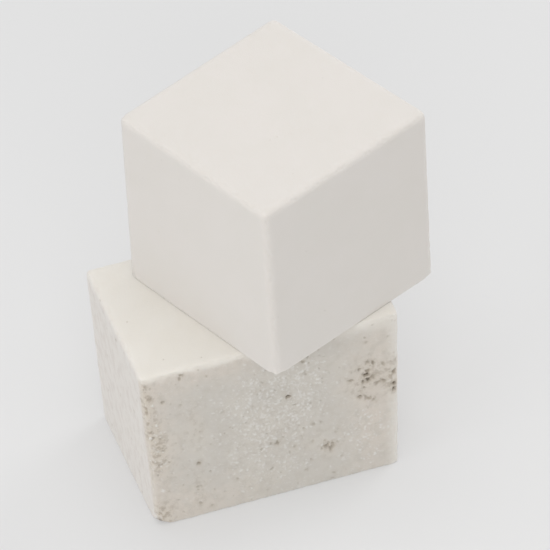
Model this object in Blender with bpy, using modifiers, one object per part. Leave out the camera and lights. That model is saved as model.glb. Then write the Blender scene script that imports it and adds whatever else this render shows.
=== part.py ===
"""Two blocks of gymnastics chalk, the upper one standing turned on the lower one.

Both are solid, pressed magnesium carbonate, and nothing fastens them together.
Units are metres and +Z is up. The origin is the centre of the lower block's
underside, and +X runs along that block's long side.

Run with: blender --background --python part.py
"""
import math

import bmesh
import bpy
from mathutils import Matrix

MM = 0.001

# Sizes are (X, Y) in the middle of the block. Neither block is cut quite square:
# its flare says how much longer its back edge is than its front edge, along X,
# and its right-hand edge than its left-hand edge, along Y.

# Lower block: a brick that narrows slightly towards its foot.
LOWER_TOP = (69.4 * MM, 45.6 * MM)
LOWER_FOOT = (66.2 * MM, 45.5 * MM)
LOWER_HEIGHT = 51.6 * MM
LOWER_FLARE = (0.3 * MM, 0.1 * MM)

# Upper block: nearly a cube.
UPPER_TOP = (54.8 * MM, 54.9 * MM)
UPPER_FOOT = (54.5 * MM, 56.0 * MM)
UPPER_HEIGHT = 53.2 * MM
UPPER_FLARE = (-1.2 * MM, 1.2 * MM)

# Where the upper block stands: its middle, from the middle of the lower block,
# and how far it is turned about the vertical.
UPPER_MIDDLE = (11.3 * MM, 2.6 * MM)
UPPER_TURN = math.radians(24.5)

# The faces that touch keep this distance.
CONTACT_GAP = 0.3 * MM

# Rounding of the edges. The rims and corners are rubbed soft in the hand, and the
# feet, which nobody holds, have stayed sharper.
LOWER_ROUNDING = {"rim": 1.5 * MM, "corner": 1.6 * MM, "foot": 0.6 * MM}
UPPER_ROUNDING = {"rim": 1.9 * MM, "corner": 2.1 * MM, "foot": 0.3 * MM}
ROUNDING_SEGMENTS = 5

COLLECTION = "chalk_blocks"


def clear_scene():
    """Remove every object, so that the file holds only this model."""
    for old in list(bpy.data.objects):
        bpy.data.objects.remove(old, do_unlink=True)


def chalk_material(name, colour, roughness):
    """Matte chalk: no metal, and only a weak highlight."""
    material = bpy.data.materials.new(name)
    material.use_nodes = True
    shader = material.node_tree.nodes["Principled BSDF"]
    shader.inputs["Base Color"].default_value = (*colour, 1.0)
    shader.inputs["Roughness"].default_value = roughness
    shader.inputs["Metallic"].default_value = 0.0
    shader.inputs["Specular IOR Level"].default_value = 0.25
    material.diffuse_color = (*colour, 1.0)
    return material


def edge_place(edge):
    """Say whether an edge of the block belongs to its rim, a corner or its foot."""
    low, high = sorted(vert.co.z for vert in edge.verts)
    if high - low > MM:
        return "corner"
    return "rim" if low > MM else "foot"


def block_mesh(name, top, foot, height, flare, rounding):
    """A box that stands on Z = 0, with its own size at the top and at the foot.

    Each edge carries its rounding as a share of the largest one.
    """
    bm = bmesh.new()
    bmesh.ops.create_cube(bm, size=1.0)
    for vert in bm.verts:
        x, y, z = vert.co
        size = top if z > 0 else foot
        vert.co = (x * (size[0] + y * flare[0]), y * (size[1] + x * flare[1]), (z + 0.5) * height)

    weights = bm.edges.layers.float.new("bevel_weight_edge")
    largest = max(rounding.values())
    for edge in bm.edges:
        edge[weights] = rounding[edge_place(edge)] / largest

    mesh = bpy.data.meshes.new(name)
    bm.to_mesh(mesh)
    bm.free()
    return mesh


def add_block(collection, name, top, foot, height, flare, rounding, material):
    """One chalk block, with its edges rounded by a Bevel modifier."""
    mesh = block_mesh(name, top, foot, height, flare, rounding)
    block = bpy.data.objects.new(name, mesh)
    collection.objects.link(block)
    block.data.materials.append(material)

    bevel = block.modifiers.new("rounded_edges", "BEVEL")
    bevel.limit_method = "WEIGHT"
    bevel.width = max(rounding.values())
    bevel.segments = ROUNDING_SEGMENTS
    bevel.use_clamp_overlap = True
    block.data.shade_smooth()
    return block


def main():
    clear_scene()
    collection = bpy.data.collections.new(COLLECTION)
    bpy.context.scene.collection.children.link(collection)

    rough = chalk_material("rough_chalk", (0.60, 0.57, 0.52), 0.9)
    smooth = chalk_material("smooth_chalk", (0.80, 0.76, 0.71), 0.8)
    add_block(collection, "lower_block", LOWER_TOP, LOWER_FOOT, LOWER_HEIGHT,
              LOWER_FLARE, LOWER_ROUNDING, rough)
    upper = add_block(collection, "upper_block", UPPER_TOP, UPPER_FOOT, UPPER_HEIGHT,
                      UPPER_FLARE, UPPER_ROUNDING, smooth)
    upper.matrix_world = (
        Matrix.Translation((*UPPER_MIDDLE, LOWER_HEIGHT + CONTACT_GAP))
        @ Matrix.Rotation(UPPER_TURN, 4, "Z")
    )


main()
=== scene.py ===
import math
import random

import bmesh
import bpy
import numpy as np
from mathutils import Matrix, Vector, noise
from mathutils.bvhtree import BVHTree


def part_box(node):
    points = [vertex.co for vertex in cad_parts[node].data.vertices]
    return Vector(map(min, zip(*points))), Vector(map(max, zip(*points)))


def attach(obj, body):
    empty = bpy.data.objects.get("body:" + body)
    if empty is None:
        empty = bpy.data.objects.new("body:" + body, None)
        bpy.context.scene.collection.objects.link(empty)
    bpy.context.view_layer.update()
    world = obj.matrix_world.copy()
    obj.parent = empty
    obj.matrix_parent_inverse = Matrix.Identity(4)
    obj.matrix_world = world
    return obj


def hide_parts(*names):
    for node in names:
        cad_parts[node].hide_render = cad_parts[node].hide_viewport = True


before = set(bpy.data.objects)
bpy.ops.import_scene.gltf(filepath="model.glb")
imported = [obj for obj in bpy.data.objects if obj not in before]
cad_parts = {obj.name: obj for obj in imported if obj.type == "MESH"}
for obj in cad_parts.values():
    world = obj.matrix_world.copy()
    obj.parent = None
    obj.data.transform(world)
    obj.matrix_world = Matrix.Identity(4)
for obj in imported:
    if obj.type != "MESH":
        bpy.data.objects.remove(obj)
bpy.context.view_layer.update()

MM = 0.001

# A block's sides, each as its axis and the sign of that axis.
LEFT, RIGHT, FRONT, BACK, TOP = (0, -1), (0, 1), (1, -1), (1, 1), (2, 1)
EVERY_SIDE = tuple((axis, sign) for axis in range(3) for sign in (-1, 1))

# The camera looks down at the lower block's front from a long way off.
CAMERA_AZIMUTH = math.radians(-16.63)
CAMERA_ELEVATION = math.radians(41.76)
CAMERA_ROLL = math.radians(-3.37)
CAMERA_DISTANCE = 1.5
CAMERA_LENS_MM = 386.0
CAMERA_SENSOR_MM = 36.0
CAMERA_SEES_TO = 20.0
CAMERA_AIM = Vector((9.17, 0.0, 54.05)) * MM

# Studio lights: name, place, width and watts. The top one is the strongest, and the right
# one stands low behind the blocks, to fill their shadows.
SOFTBOXES = (
    ("top_light", (0.0, 0.0, 1.3), 1.2, 6.4),
    ("left_light", (-1.1, -0.35, 0.55), 0.9, 2.2),
    ("front_light", (-0.35, -1.15, 0.75), 0.9, 4.8),
    ("right_light", (0.95, 0.45, 0.40), 0.7, 2.9),
)
SOFTBOX_AIM = (0.0, 0.0, 0.05)
TENT_STRENGTH = 0.47

# The floor is a sheet of white acrylic, lit a little from below to soften the shadows.
FLOOR_RADIUS = 2.5
FLOOR_GREY = 0.512
FLOOR_GLOW = 0.255

# Spacing of the first grid on each block. Each refining halves it where there is detail.
LOWER_GRID = 0.85 * MM
UPPER_GRID = 0.70 * MM

# A point this close to the plane of a side counts as on it, and this close to the plane
# of the foot as in the foot's edge.
ON_SIDE = 0.01 * MM
AT_FOOT = 0.8 * MM

# Light goes a short way into chalk, which softens its creases and edges.
SUBSURFACE = 0.8
SUBSURFACE_DEPTH = 0.7 * MM

# How far each of the two touching faces closes the gap between the CAD blocks.
CONTACT_CLOSE = 0.149 * MM

# Relief, from the smallest to the largest.
POWDER_HEIGHT = 0.10 * MM
LOWER_EDGE_BITE = 0.25 * MM
UPPER_EDGE_BITE = 0.30 * MM
POCK_DEPTH = 0.35 * MM
CORNER_LOSS = 1.6 * MM

# Depth of a pit and height of a crumb, as shares of the radius.
PIT_DEPTH = -0.9
CRUMB_HEIGHT = 0.45

# The upper block's corners are blunt at the foot, the one at the front most of all. Each
# is its side of the box in x and y, then how blunt it is and how far up that goes, in mm.
BLUNT_CORNERS = (
    (-1, -1, 0.62, 12.0), (1, -1, 0.20, 2.4), (-1, 1, 0.42, 3.2), (1, 1, 0.30, 3.2),
)

# Single pits in the lower block's front, in mm: across from its left end, up from its
# foot, radius, and depth as a share of the radius.
FRONT_PITS = (
    (38.4, 33.5, 0.72, 1.0), (34.8, 18.7, 0.58, 0.75), (33.1, 19.0, 0.42, 0.45),
    (13.2, 18.8, 0.62, 0.7), (5.2, 43.0, 0.55, 0.6), (9.7, 40.3, 0.50, 0.3),
    (20.6, 34.2, 0.55, 0.25), (42.7, 44.2, 0.55, 0.55), (59.9, 45.1, 0.45, 0.35),
    # the pair that nicks the top edge
    (10.7, 50.3, 0.58, 0.55), (10.1, 49.3, 0.52, 0.5), (0.9, 49.5, 0.50, 0.4),
    # the group low on the right
    (48.4, 13.1, 0.78, 0.72), (49.5, 12.0, 0.85, 0.65), (50.2, 13.4, 0.65, 0.6),
    (48.9, 14.0, 0.50, 0.35), (51.4, 13.6, 0.45, 0.3),
    # the dark group high on the right
    (60.2, 38.2, 0.65, 0.65), (61.7, 37.6, 0.68, 0.7), (57.8, 36.4, 0.58, 0.65),
    (59.7, 33.9, 0.85, 1.0), (60.4, 35.2, 0.85, 0.65), (61.7, 32.8, 0.80, 0.65),
    (59.0, 31.8, 0.70, 0.75), (60.3, 31.9, 0.72, 0.85), (55.5, 33.4, 0.62, 0.6),
    (64.5, 36.3, 0.75, 0.4), (62.8, 30.3, 0.65, 0.55), (64.3, 30.5, 0.85, 0.75),
    (67.6, 32.7, 0.80, 0.7), (67.6, 28.6, 0.75, 0.9), (67.7, 26.5, 0.80, 0.9),
    (58.2, 27.0, 0.70, 0.75), (59.6, 26.2, 0.60, 0.5), (60.8, 25.7, 0.72, 0.55),
    (61.9, 25.1, 0.75, 0.50), (58.2, 29.0, 0.75, 0.35), (68.3, 36.6, 0.55, 0.35),
    # faint ones
    (39.6, 16.0, 0.50, 0.3), (44.5, 15.9, 0.55, 0.3), (51.0, 17.2, 0.50, 0.25),
    (44.0, 9.7, 0.50, 0.3), (42.5, 6.6, 0.50, 0.3), (52.4, 8.3, 0.45, 0.2),
    (12.3, 10.8, 0.55, 0.4), (13.2, 10.9, 0.50, 0.3), (12.6, 5.0, 0.50, 0.35),
    (15.6, 3.0, 0.50, 0.4), (23.2, 9.9, 0.50, 0.25), (50.3, 3.1, 0.60, 0.25),
    (43.4, 39.8, 0.50, 0.3), (45.0, 22.0, 0.55, 0.3), (47.2, 21.9, 0.55, 0.3),
)

# A pit's floor is seen from above through its mouth, so the mouth sits lower than the
# dark spot it shows.
PIT_SHIFT = (0.3, -0.45)

# How far a clumped pit lies from its neighbour.
CLUMP_SPREAD = 1.8 * MM

# Patches of the front: across, up, spread across and spread up in mm, then strength.
CRUMBLY = (
    (38.5, 39.0, 3.2, 4.5, 0.9), (34.5, 33.0, 6.5, 5.5, 0.75), (42.0, 28.0, 5.0, 4.5, 0.75),
    (26.5, 34.0, 4.0, 6.0, 0.65), (46.5, 38.5, 3.0, 5.0, 0.65), (32.0, 23.0, 6.5, 6.0, 0.65),
    (28.5, 12.0, 4.0, 6.0, 0.60), (38.0, 11.0, 5.0, 6.0, 0.55), (59.0, 8.5, 3.5, 5.0, 0.80),
    (60.0, 18.0, 3.5, 3.5, 0.60), (2.5, 29.0, 2.0, 9.0, 0.65),
)
CRUMBS_PER_MM2 = 0.45
PITTED = (
    (60.3, 33.0, 3.2, 3.4, 0.70), (67.5, 30.5, 1.0, 4.0, 0.6), (49.2, 12.8, 1.8, 1.4, 0.6),
    (1.5, 45.5, 1.2, 3.5, 0.6), (2.1, 35.5, 1.5, 5.0, 0.65), (3.4, 25.5, 1.9, 4.5, 0.75),
    (2.5, 4.0, 2.2, 3.5, 0.7), (45.5, 17.5, 6.0, 5.0, 0.25),
)
SOILED = (
    (0.8, 44.0, 1.6, 4.0, 0.85), (1.6, 35.0, 1.8, 6.0, 0.75), (3.2, 25.0, 2.4, 5.5, 0.75),
    (2.2, 3.0, 2.6, 3.6, 1.0), (60.5, 32.5, 4.0, 4.0, 0.75), (13.2, 32.0, 1.8, 5.0, 0.35),
    (49.5, 12.5, 2.0, 2.0, 0.4), (13.0, 9.0, 1.8, 5.0, 0.3),
    (35.0, 20.0, 10.0, 9.0, 0.16), (67.6, 30.0, 1.6, 4.5, 0.7),
)
WARM = (
    (1.5, 26.0, 4.5, 30.0, 1.0), (63.5, 26.0, 6.0, 30.0, 1.0),
    (18.0, 51.0, 12.0, 4.5, 1.0), (12.0, 3.0, 12.0, 5.0, 0.9),
)

# How far the outline of the warm patches wanders, in mm.
WARM_WANDER = 4.0

# Colours of the upper block's chalk. Where there are two, the chalk varies between them.
SMOOTH_CHALK = ((0.748, 0.717, 0.678), (0.756, 0.723, 0.687))
SMOOTH_LIGHT_GRAIN = (0.82, 0.79, 0.76)
SMOOTH_DARK_GRAIN = (0.66, 0.62, 0.57)
# Painted shade inside the upper block's small pits.
SMOOTH_PIT_SHADE = (0.50, 0.45, 0.38)

# Colours of the lower block's chalk: its sawn top, its ends, and its front and back.
CLEAN_TOP = ((0.781, 0.752, 0.699), (0.792, 0.766, 0.717))
MOTTLED_END = ((0.788, 0.751, 0.707), (0.735, 0.689, 0.643))
GREY_FACE = ((0.658, 0.627, 0.576), (0.634, 0.605, 0.559))
WARM_FACE = ((0.695, 0.643, 0.582), (0.672, 0.624, 0.566))
DARK_MOTTLE = (0.590, 0.555, 0.500)
LIGHT_FLECK = (0.77, 0.75, 0.71)
LIGHT_GRAIN = (0.84, 0.81, 0.77)
DARK_GRAIN = (0.48, 0.44, 0.38)
DIRT = ((0.665, 0.612, 0.540), (0.45, 0.392, 0.325))
CRUMB = (0.80, 0.79, 0.77)
# Darker chalk round each pit.
DARK_SURROUND = (0.50, 0.450, 0.385)
# Painted shade inside the pits and pocks, darkest at the pits' cores.
PIT_SHADE = (0.42, 0.37, 0.305)
PIT_CORE_SHADE = (0.19, 0.165, 0.13)


# ---------------------------------------------------------------- fields

def noise_field(points, size, seed, octaves=1, stretch=(1.0, 1.0, 1.0)):
    """Smooth noise, mostly -0.6 to 0.6, with lumps of the given size at each point."""
    offset = Vector((seed * 17.3, seed * 5.1, seed * 11.7))
    scaled = points / (np.array(stretch) * size)
    return np.array([
        noise.fractal(Vector(p) + offset, 1.0, 2.0, octaves) for p in scaled.tolist()])


def smooth_step(start, end, value):
    """0 at start, 1 at end, and a soft change between. Start may be the larger one."""
    t = np.clip((value - start) / (end - start), 0.0, 1.0)
    return t * t * (3.0 - 2.0 * t)


def patches(across, up, places):
    """How strongly soft round patches cover a spot of the front, from 0 to 1."""
    cover = np.zeros(len(across))
    for a, u, wide, tall, strength in places:
        cover += strength * np.exp(-0.5 * (((across - a) / wide) ** 2 + ((up - u) / tall) ** 2))
    return np.clip(cover, 0.0, 1.0)


# ---------------------------------------------------------------- blocks

class Block:
    """A dense mesh that follows one CAD block.

    hull holds each vertex on a plain upright box around the block, measured from the
    box's middle, which is where features are placed. height is how far it stands proud.
    """

    def __init__(self, node, grid_step):
        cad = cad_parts[node].data
        self.node = node
        self.cad = BVHTree.FromPolygons(
            [v.co.copy() for v in cad.vertices], [tuple(p.vertices) for p in cad.polygons])
        self.low, self.high = (np.array(corner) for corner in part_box(node))

        # A box's sides repeat every quarter turn, so four times the direction of each
        # side's normal, weighted by its area, gives the turn of the block.
        total = sum(
            p.area * np.exp(4j * math.atan2(p.normal.y, p.normal.x))
            for p in cad.polygons if abs(p.normal.z) < 0.2)
        self.turn = Matrix.Rotation(float(np.angle(total)) / 4.0, 3, "Z")
        own = np.array([self.turn.transposed() @ v.co for v in cad.vertices])
        self.half = (own.max(0) - own.min(0)) / 2.0
        self.middle = (own.max(0) + own.min(0)) / 2.0

        # The block tapers: how wide its upper and lower halves get, against the whole.
        upper = own[:, 2] > self.middle[2]
        self.top_share = np.ptp(own[upper], axis=0) / (2.0 * self.half)
        self.foot_share = np.ptp(own[~upper], axis=0) / (2.0 * self.half)

        self.bm = bmesh.new()
        bmesh.ops.create_cube(self.bm, size=2.0)
        for axis in range(3):
            cuts = round(2.0 * self.half[axis] / grid_step) - 1
            along = [e for e in self.bm.edges if self._runs_along(e, axis)]
            bmesh.ops.subdivide_edges(self.bm, edges=along, cuts=cuts, use_grid_fill=True)
        for vert in self.bm.verts:
            vert.co = [vert.co[i] * self.half[i] for i in range(3)]

    @staticmethod
    def _runs_along(edge, axis):
        return abs((edge.verts[0].co - edge.verts[1].co).normalized()[axis]) > 0.5

    def refine(self, wants_more):
        """Split in four each face whose middle, on the hull, wants_more() picks."""
        faces = list(self.bm.faces)
        middles = np.array([f.calc_center_median() for f in faces])
        edges = {e for i in np.nonzero(wants_more(middles))[0] for e in faces[i].edges}
        bmesh.ops.subdivide_edges(self.bm, edges=list(edges), cuts=1, use_grid_fill=True)

    def edge_distance(self, points):
        """How far each hull point is from the nearest edge of the box."""
        return np.sort(self.half - np.abs(points), axis=1)[:, 1]

    def from_upright_edge(self):
        """How far each vertex is from an upright edge, in x or in y, whichever is more."""
        return (self.half - np.abs(self.hull))[:, :2].max(1)

    def on_side(self, axis, sign, points):
        """Which hull points are on that side of the box."""
        return points[:, axis] * sign > self.half[axis] - ON_SIDE

    def settle(self, soften_within, rounds, keep_foot=False):
        """Move the grid onto the CAD block, and even out the facets of its edges.

        keep_foot leaves the edges round the foot as they are, apart from its corners.
        """
        self.hull = np.array([v.co for v in self.bm.verts])
        rise = 0.5 + self.hull[:, 2:] / (2.0 * self.half[2])
        tapered = self.hull * (self.foot_share * (1.0 - rise) + self.top_share * rise)
        tapered[:, 2] = self.hull[:, 2]
        for vert, place in zip(self.bm.verts, tapered + self.middle):
            vert.co = self.cad.find_nearest(self.turn @ Vector(place))[0]
        near = self.edge_distance(self.hull) < soften_within
        if keep_foot:
            at_upright_edge = self.from_upright_edge() < soften_within
            near &= at_upright_edge | (self.hull[:, 2] > AT_FOOT - self.half[2])
        rim = [v for v, chosen in zip(self.bm.verts, near) if chosen]
        for _ in range(rounds):
            bmesh.ops.smooth_vert(
                self.bm, verts=rim, factor=0.5,
                use_axis_x=True, use_axis_y=True, use_axis_z=True)
        self.bm.normal_update()
        self.base = np.array([v.co for v in self.bm.verts])
        self.normal = np.array([v.normal for v in self.bm.verts])
        self.height = np.zeros(len(self.base))

    def mark(self, places, seed, depth):
        """Sink pits, or raise crumbs, at hull places given as (point, radius, share).

        depth is in radii, and negative for a pit. Each outline wanders, so that no two
        look alike. Returns how far inside one each vertex is, and how near to one, both
        from 0 to 1.
        """
        cover = np.zeros(len(self.hull))
        surround = np.zeros(len(self.hull))
        for number, (centre, radius, share) in enumerate(places):
            away = np.linalg.norm(self.hull - centre, axis=1) / radius
            near = np.nonzero(away < 2.6)[0]
            wander = noise_field(self.hull[near], radius * 1.1, seed + number * 0.37, 2)
            inside = smooth_step(1.25, 0.35, away[near] + 0.7 * wander)
            self.height[near] += inside * radius * share * depth
            cover[near] = np.maximum(cover[near], inside * min(1.0, share * 1.1))
            around = smooth_step(2.5, 0.8, away[near] + 0.5 * wander) * share
            surround[near] = np.maximum(surround[near], around)
        return cover, surround

    def close_gap(self, side):
        """Stretch the block a little so that its top or foot meets the other block."""
        low, high = self.low[2], self.high[2]
        share = (self.base[:, 2] - low) / (high - low)
        self.base[:, 2] += CONTACT_CLOSE * (share if side == "top" else share - 1.0)
        if side == "top":
            self.high[2] += CONTACT_CLOSE
        else:
            self.low[2] -= CONTACT_CLOSE

    def finish(self, name, material, body, masks):
        """Write the mesh, held inside the block's box, and let it stand for the CAD node."""
        points = np.clip(self.base + self.normal * self.height[:, None], self.low, self.high)
        for vert, point in zip(self.bm.verts, points):
            vert.co = point
        mesh = bpy.data.meshes.new(name)
        self.bm.to_mesh(mesh)
        self.bm.free()
        for mask, values in masks.items():
            attribute = mesh.attributes.new(mask, "FLOAT", "POINT")
            attribute.data.foreach_set("value", values.astype(np.float32))
        mesh.shade_smooth()
        mesh.materials.append(material)
        piece = bpy.data.objects.new(name, mesh)
        bpy.context.scene.collection.objects.link(piece)
        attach(piece, body)
        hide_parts(self.node)


def scatter(block, count, seed, sides, radii, shares, margin=0.0, clump=0.0):
    """Random places on the given sides of a block: (hull point, radius, share).

    radii are in mm. clump is the share of places that lie close to the place before.
    """
    draw = random.Random(seed)
    places = []
    point = None
    for _ in range(count):
        axis, sign = draw.choice(sides)
        if point is not None and draw.random() < clump:
            point = [draw.gauss(value, CLUMP_SPREAD) for value in point]
        else:
            point = [draw.uniform(-1.0, 1.0) * (half - margin) for half in block.half]
        point[axis] = sign * block.half[axis]
        radius = draw.uniform(*radii) * MM
        places.append((np.array(point), radius, draw.uniform(*shares)))
    return places


# ---------------------------------------------------------------- lower block

def front_point(block, across, up):
    """A place on the lower block's front, from mm across and mm up."""
    return np.array([across * MM - block.half[0], -block.half[1], up * MM - block.half[2]])


def front_places(block, points):
    """mm across the front and mm up it, for hull points."""
    return (points[:, 0] + block.half[0]) / MM, (points[:, 2] + block.half[2]) / MM


def lower_pits(block):
    """All pits of the lower block, as (hull point, radius, share)."""
    right, up = PIT_SHIFT
    pits = [(front_point(block, across + right, height + up), radius * MM, share)
            for across, height, radius, share in FRONT_PITS]
    pits += scatter(block, 60, seed=5, sides=[FRONT], radii=(0.15, 0.30), shares=(0.2, 0.5))
    pits += scatter(block, 110, seed=6, sides=[BACK], radii=(0.18, 0.65), shares=(0.3, 0.8),
                    clump=0.75)
    pits += scatter(block, 70, seed=7, sides=[LEFT, RIGHT], radii=(0.15, 0.35),
                    shares=(0.2, 0.5))
    pits += scatter(block, 14, seed=8, sides=[TOP], radii=(0.12, 0.22), shares=(0.3, 0.5),
                    margin=2.0 * MM)
    return pits


def crumb_places(block, seed):
    """Loose crumbs as (hull point, radius, share), thickest amid the crumbly patches."""
    draw = random.Random(seed)
    places = []
    for across, up, wide, tall, strength in CRUMBLY:
        for _ in range(round(2.0 * math.pi * wide * tall * strength * CRUMBS_PER_MM2)):
            point = front_point(block, draw.gauss(across, wide), draw.gauss(up, tall))
            places.append((point, draw.uniform(0.22, 0.50) * MM, draw.uniform(0.3, 1.0)))
    return places


def near_places(points, places, reach):
    """Which hull points lie inside one of the places, or within reach of its outline."""
    near = np.zeros(len(points), bool)
    for centre, radius, _ in places:
        near |= np.linalg.norm(points - centre, axis=1) < radius + reach
    return near


def refine_lower(block, pits):
    """Refine the sides in view, edges and pits, and then the finest detail once more."""
    def wants_detail(points):
        return (block.on_side(*FRONT, points) | block.on_side(*LEFT, points)
                | (block.edge_distance(points) < 2.0 * MM)
                | near_places(points, pits, 0.8 * MM))

    def wants_more_detail(points):
        across, up = front_places(block, points)
        busy = np.maximum(patches(across, up, PITTED), patches(across, up, CRUMBLY))
        return (block.on_side(*FRONT, points) & (busy > 0.3)
                | (block.edge_distance(points) < 0.6 * MM)
                | near_places(points, pits, 0.25 * MM))

    block.refine(wants_detail)
    block.refine(wants_more_detail)


class LowerZones:
    """What the chalk is like at each vertex of the lower block.

    front, faces (front or back), rough (their grey chalk), sawn (an end) and over_rim
    (the rim above an end) run from 0 to 1. The sawn top's clean chalk rolls over the
    rim, further in some places than others, so rough and sawn start below the rim.
    """

    def __init__(self, block):
        hull = block.hull
        self.across, self.up = front_places(block, hull)
        self.lumps = noise_field(hull, 3.2 * MM, seed=1, octaves=3)
        self.grit = noise_field(hull, 0.9 * MM, seed=2, octaves=2)
        below_rim = block.half[2] - hull[:, 2]
        behind_front = hull[:, 1] + block.half[1]
        in_from_right = block.half[0] - hull[:, 0]
        in_from_end = block.half[0] - np.abs(hull[:, 0])
        wavy_below_rim = below_rim + 0.8 * MM * self.lumps

        # The front's rough chalk reaches a little way round onto the ends.
        self.front = smooth_step(2.2 * MM, 0.9 * MM, behind_front + 0.5 * MM * self.grit)
        self.front *= ~block.on_side(*TOP, hull)
        self.faces = np.maximum(self.front, block.on_side(*BACK, hull))

        # The grey chalk fades in more slowly below the rim on the right than on the left.
        fade = (3.0 + 2.5 * smooth_step(40.0, 62.0, self.across)) * MM
        self.rough = self.faces * smooth_step(0.0, 1.0, wavy_below_rim / fade)
        self.rough *= smooth_step(0.4 * MM, 4.6 * MM, in_from_right + 0.8 * MM * self.grit)

        is_end = block.on_side(*LEFT, hull) | block.on_side(*RIGHT, hull)
        self.sawn = is_end * smooth_step(-0.2 * MM, 1.4 * MM, wavy_below_rim)
        is_rim = smooth_step(1.8 * MM, 0.2 * MM, in_from_end)
        self.over_rim = block.on_side(*TOP, hull) * is_rim


def roughen_lower(block, zones):
    """Make the front and back lumpy, and leave upright saw marks on the ends."""
    marks = noise_field(block.hull, 2.0 * MM, seed=3, octaves=2, stretch=(1.0, 1.0, 3.0))
    lumps, grit = zones.lumps, zones.grit
    block.height -= zones.faces * (0.08 + 0.10 * lumps + 0.07 * grit) * MM
    block.height -= zones.sawn * (0.05 + 0.05 * lumps + 0.035 * marks) * MM


def wear_lower(block):
    """Crumble the edges, but not round the foot, and blunt the front's lower left corner."""
    hull = block.hull
    bite = noise_field(hull, 2.4 * MM, seed=4, octaves=3)
    off_foot = smooth_step(0.3 * MM, 2.0 * MM, hull[:, 2] + block.half[2])
    wear = smooth_step(1.5 * MM, 0.0, block.edge_distance(hull)) * off_foot
    block.height -= wear * np.clip(bite + 0.10, 0, 1) * LOWER_EDGE_BITE
    off_corner = np.linalg.norm(hull - front_point(block, 0, 0), axis=1)
    block.height -= smooth_step(5.0 * MM, 0.0, off_corner) * CORNER_LOSS


def add_crumbs(block, zones):
    """Raise powder all over the faces and loose white crumbs in patches. Returns where."""
    crumbly = zones.front * patches(zones.across, zones.up, CRUMBLY)
    flecks = noise_field(block.hull, 0.85 * MM, seed=5, octaves=2) + 0.42 * crumbly
    powder = zones.faces * smooth_step(0.58, 0.92, flecks)
    block.height += powder * POWDER_HEIGHT
    crumb, _ = block.mark(crumb_places(block, seed=12), seed=400, depth=CRUMB_HEIGHT)
    return np.maximum(crumb, 0.6 * powder)


def add_pits(block, zones, pits):
    """Sink the pits, and small pocks that are thick in some patches.

    Returns where they are, which gets painted shade, and how near to them each vertex is, which
    darkens the chalk round them.
    """
    pitted = zones.front * patches(zones.across, zones.up, PITTED)
    pocks = noise_field(block.hull, 1.25 * MM, seed=6, octaves=2) + 0.55 * pitted
    pock = zones.faces * smooth_step(0.64, 1.05, pocks)
    block.height -= pock * POCK_DEPTH
    pit_shade, surround = block.mark(pits, seed=50, depth=PIT_DEPTH)
    return np.maximum(pit_shade, 0.30 * pock), surround


def make_lower_block(material):
    block = Block("lower_block", LOWER_GRID)
    pits = lower_pits(block)
    refine_lower(block, pits)
    block.settle(soften_within=2.2 * MM, rounds=4)
    block.close_gap("top")

    zones = LowerZones(block)
    roughen_lower(block, zones)
    wear_lower(block)
    crumb = add_crumbs(block, zones)
    pit_shade, surround = add_pits(block, zones, pits)
    wander = WARM_WANDER * zones.lumps
    masks = {
        # This mask carries the painted shade inside the pits and pocks.
        "pit_shade": pit_shade,
        # This mask darkens the chalk round each pit.
        "surround": surround,
        "crumb": crumb * (1.0 - pit_shade),
        "rough": zones.rough,
        "sawn": np.maximum(zones.sawn, 0.7 * zones.over_rim),
        "soil": zones.front * patches(zones.across, zones.up, SOILED),
        "warm": patches(zones.across + wander, zones.up + wander, WARM),
    }
    block.finish("lower_chalk", material, "lower", masks)


# ---------------------------------------------------------------- upper block

def wear_upper(block):
    """Make the faces swell a little and wear the edges, but not round the foot."""
    hull = block.hull
    swell = noise_field(hull, 16.0 * MM, seed=21, octaves=2)
    bite = noise_field(hull, 1.8 * MM, seed=23, octaves=3)
    wear = smooth_step(2.2 * MM, 0.0, block.edge_distance(hull))
    off_foot = smooth_step(-block.half[2], 1.5 * MM - block.half[2], hull[:, 2])
    upright = smooth_step(3.5 * MM, 1.0 * MM, block.from_upright_edge())
    worn = np.maximum(off_foot, upright)
    block.height -= worn * (0.02 + 0.02 * swell) * MM
    block.height -= worn * wear * np.clip(bite - 0.05, 0, 1) * UPPER_EDGE_BITE


def blunt_foot(block):
    """Push the corners of the foot in towards the block's middle."""
    hull = block.hull
    for side_x, side_y, blunt, reach in BLUNT_CORNERS:
        off_corner = np.hypot(block.half[0] - side_x * hull[:, 0],
                              block.half[1] - side_y * hull[:, 1])
        low = smooth_step(reach * MM, 1.0 * MM, hull[:, 2] + block.half[2])
        share = low * smooth_step(4.5 * MM, 0.0, off_corner)
        inward = block.turn @ Vector((-side_x, -side_y, 0.0)).normalized()
        block.base += np.outer(share * blunt * MM, inward)


def make_upper_block(material):
    block = Block("upper_block", UPPER_GRID)
    specks = scatter(block, 90, seed=9, sides=EVERY_SIDE, radii=(0.10, 0.22),
                     shares=(0.2, 0.5))
    block.refine(lambda points: (block.edge_distance(points) < 2.6 * MM)
                 | near_places(points, specks, 0.5 * MM))
    block.settle(soften_within=3.0 * MM, rounds=5, keep_foot=True)
    block.close_gap("foot")

    wear_upper(block)
    blunt_foot(block)
    # The specks are small pits, which get painted shade.
    pit_shade, _ = block.mark(specks, seed=130, depth=PIT_DEPTH)
    block.finish("upper_chalk", material, "upper", {"pit_shade": pit_shade})


# ---------------------------------------------------------------- materials

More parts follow.
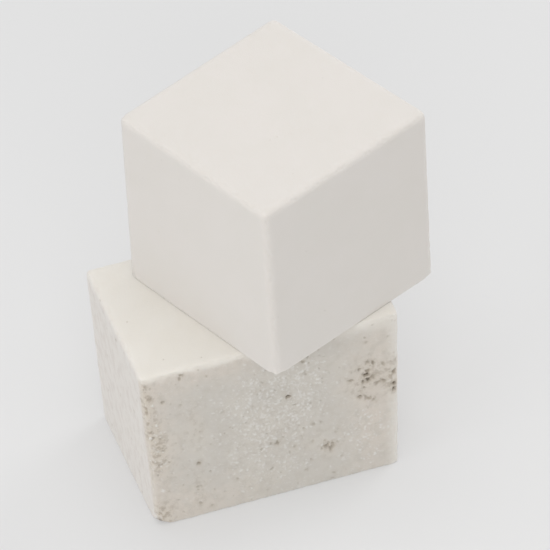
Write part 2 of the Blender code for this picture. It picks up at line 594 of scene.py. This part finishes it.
class Shader:
    """Short calls for building one material's nodes."""

    def __init__(self, name):
        self.material = bpy.data.materials.new(name)
        self.material.use_nodes = True
        self.tree = self.material.node_tree
        self.principled = self.tree.nodes["Principled BSDF"]
        self.coordinates = self.tree.nodes.new("ShaderNodeTexCoord").outputs["Object"]

    def set(self, node, sockets):
        """Give each of a node's sockets its value, or link it to another node's output."""
        for key, value in sockets.items():
            if isinstance(value, bpy.types.NodeSocket):
                self.tree.links.new(value, node.inputs[key])
            else:
                node.inputs[key].default_value = value

    def mask(self, name):
        node = self.tree.nodes.new("ShaderNodeAttribute")
        node.attribute_name = name
        return node.outputs["Fac"]

    def noise(self, size, detail=3.0, stretch=(1.0, 1.0, 1.0), roughness=0.5):
        """Noise with lumps of the given size in metres."""
        mapping = self.tree.nodes.new("ShaderNodeMapping")
        scale = [1.0 / (size * s) for s in stretch]
        self.set(mapping, {"Vector": self.coordinates, "Scale": scale})
        node = self.tree.nodes.new("ShaderNodeTexNoise")
        self.set(node, {"Vector": mapping.outputs[0], "Scale": 1.0, "Detail": detail,
                        "Roughness": roughness})
        return node.outputs["Fac"]

    def ramp(self, value, start, end, low=0.0, high=1.0):
        """low up to start and high from end on, with a soft change between."""
        node = self.tree.nodes.new("ShaderNodeMapRange")
        node.interpolation_type = "SMOOTHSTEP"
        self.set(node, {"Value": value, "From Min": start, "From Max": end,
                        "To Min": low, "To Max": high})
        return node.outputs["Result"]

    def math(self, operation, first, second):
        node = self.tree.nodes.new("ShaderNodeMath")
        node.operation = operation
        self.set(node, {0: first, 1: second})
        return node.outputs[0]

    def blend(self, share, first, second):
        """first, turning into second as share goes from 0 to 1."""
        node = self.tree.nodes.new("ShaderNodeMix")
        node.data_type = "RGBA"
        self.set(node, {0: share})
        for key, colour in ((6, first), (7, second)):
            is_socket = isinstance(colour, bpy.types.NodeSocket)
            self.set(node, {key: colour if is_socket else (*colour, 1.0)})
        return node.outputs[2]

    def bump(self, height, distance, normal=None):
        node = self.tree.nodes.new("ShaderNodeBump")
        self.set(node, {"Height": height, "Strength": 1.0, "Distance": distance})
        if normal is not None:
            self.set(node, {"Normal": normal})
        return node.outputs["Normal"]


def smooth_chalk():
    """Dense pressed chalk: warm white, even, with a fine powdery grain, and painted shade in
    its small pits.
    """
    s = Shader("smooth_chalk_surface")
    grain = s.noise(0.30 * MM, 3.0)
    cloud = s.noise(12.0 * MM, 2.0)
    colour = s.blend(s.ramp(cloud, 0.35, 0.65), *SMOOTH_CHALK)
    colour = s.blend(s.ramp(grain, 0.62, 0.80, 0.0, 0.25), colour, SMOOTH_LIGHT_GRAIN)
    colour = s.blend(s.ramp(grain, 0.36, 0.22, 0.0, 0.25), colour, SMOOTH_DARK_GRAIN)
    # Painted shade inside the small pits.
    colour = s.blend(s.math("MULTIPLY", s.mask("pit_shade"), 0.7), colour, SMOOTH_PIT_SHADE)
    s.set(s.principled, {
        "Base Color": colour, "Roughness": s.ramp(grain, 0.3, 0.7, 0.82, 0.95),
        "Metallic": 0.0, "Specular IOR Level": 0.25, "Diffuse Roughness": 0.8,
        "Subsurface Weight": SUBSURFACE, "Subsurface Radius": (1.0, 1.0, 1.0),
        "Subsurface Scale": SUBSURFACE_DEPTH, "Normal": s.bump(grain, 0.05 * MM)})
    return s.material


def rough_chalk():
    """The lower block's chalk: clean where it is sawn, grey and soiled on its front, with
    painted shade in its pits.
    """
    s = Shader("rough_chalk_surface")
    grain = s.noise(0.28 * MM, 3.0)
    flecks = s.noise(0.75 * MM, 2.0, roughness=0.6)
    specks = s.noise(1.3 * MM, 3.0)
    blotch = s.noise(2.4 * MM, 4.0, stretch=(1.0, 1.0, 1.5))
    mottle = s.noise(2.6 * MM, 4.0)
    cloud = s.noise(11.0 * MM, 2.0)

    slowly = s.ramp(cloud, 0.35, 0.65)
    clean = s.blend(slowly, *CLEAN_TOP)
    end = s.blend(s.ramp(blotch, 0.40, 0.70), *MOTTLED_END)
    face = s.blend(s.mask("warm"), s.blend(slowly, *GREY_FACE), s.blend(slowly, *WARM_FACE))
    face = s.blend(s.ramp(mottle, 0.45, 0.72, 0.0, 0.5), face, DARK_MOTTLE)
    face = s.blend(s.ramp(flecks, 0.58, 0.74, 0.0, 0.30), face, LIGHT_FLECK)

    colour = s.blend(s.mask("sawn"), clean, end)
    colour = s.blend(s.mask("rough"), colour, face)
    colour = s.blend(s.ramp(grain, 0.60, 0.78, 0.0, 0.15), colour, LIGHT_GRAIN)
    colour = s.blend(s.ramp(grain, 0.38, 0.24, 0.0, 0.15), colour, DARK_GRAIN)
    dirt = s.blend(s.ramp(specks, 0.45, 0.70), *DIRT)
    soil = s.math("MULTIPLY", s.mask("soil"), s.ramp(mottle, 0.25, 0.55, 0.35, 1.0))
    colour = s.blend(soil, colour, dirt)
    colour = s.blend(s.math("MULTIPLY", s.mask("crumb"), 0.62), colour, CRUMB)
    # Darker chalk round each pit.
    colour = s.blend(s.math("MULTIPLY", s.mask("surround"), 0.5), colour, DARK_SURROUND)
    # Painted shade inside the pits and pocks, darkest at the cores.
    colour = s.blend(s.mask("pit_shade"), colour, PIT_SHADE)
    colour = s.blend(s.ramp(s.mask("pit_shade"), 0.65, 1.05), colour, PIT_CORE_SHADE)
    s.set(s.principled, {
        "Base Color": colour, "Roughness": s.ramp(grain, 0.3, 0.7, 0.85, 0.97),
        "Metallic": 0.0, "Specular IOR Level": 0.2, "Diffuse Roughness": 0.9,
        "Subsurface Weight": SUBSURFACE, "Subsurface Radius": (1.0, 1.0, 1.0),
        "Subsurface Scale": SUBSURFACE_DEPTH,
        "Normal": s.bump(flecks, 0.07 * MM, s.bump(grain, 0.04 * MM))})
    return s.material


# ---------------------------------------------------------------- studio

def add_floor():
    """A plain pale floor that glows a little."""
    bpy.ops.mesh.primitive_circle_add(vertices=96, radius=FLOOR_RADIUS, fill_type="NGON")
    floor = bpy.context.object
    floor.name = "floor"
    s = Shader("floor_surface")
    s.set(s.principled, {
        "Base Color": (FLOOR_GREY, FLOOR_GREY, FLOOR_GREY, 1.0), "Roughness": 0.9,
        "Specular IOR Level": 0.1, "Emission Color": (1.0, 1.0, 1.0, 1.0),
        "Emission Strength": FLOOR_GLOW})
    floor.data.materials.append(s.material)


def add_light_tent():
    """Even white light from all round."""
    world = bpy.data.worlds.new("light_tent")
    world.use_nodes = True
    background = world.node_tree.nodes["Background"]
    background.inputs["Color"].default_value = (1.0, 1.0, 1.0, 1.0)
    background.inputs["Strength"].default_value = TENT_STRENGTH
    bpy.context.scene.world = world


def add_softboxes():
    """Large round soft lights, all aimed at the blocks."""
    for name, place, size, watts in SOFTBOXES:
        light = bpy.data.lights.new(name, "AREA")
        light.shape = "DISK"
        light.size = size
        light.energy = watts
        lamp = bpy.data.objects.new(name, light)
        lamp.location = place
        toward = Vector(SOFTBOX_AIM) - Vector(place)
        lamp.rotation_euler = toward.to_track_quat("-Z", "Y").to_euler()
        bpy.context.scene.collection.objects.link(lamp)


def add_camera():
    """A long lens, aimed and rolled by the angles above."""
    direction = Vector((
        -math.sin(CAMERA_AZIMUTH) * math.cos(CAMERA_ELEVATION),
        math.cos(CAMERA_AZIMUTH) * math.cos(CAMERA_ELEVATION),
        -math.sin(CAMERA_ELEVATION)))
    data = bpy.data.cameras.new("camera")
    data.lens = CAMERA_LENS_MM
    data.sensor_width = CAMERA_SENSOR_MM
    data.clip_end = CAMERA_SEES_TO
    camera = bpy.data.objects.new("camera", data)
    upright = direction.to_track_quat("-Z", "Y").to_matrix().to_4x4()
    camera.matrix_world = (
        Matrix.Translation(CAMERA_AIM - direction * CAMERA_DISTANCE)
        @ upright @ Matrix.Rotation(CAMERA_ROLL, 4, "Z"))
    bpy.context.scene.collection.objects.link(camera)
    bpy.context.scene.camera = camera


def main():
    make_lower_block(rough_chalk())
    make_upper_block(smooth_chalk())
    add_floor()
    add_light_tent()
    add_softboxes()
    add_camera()
    bpy.context.scene.view_settings.view_transform = "Standard"


main()
bpy.context.view_layer.update()
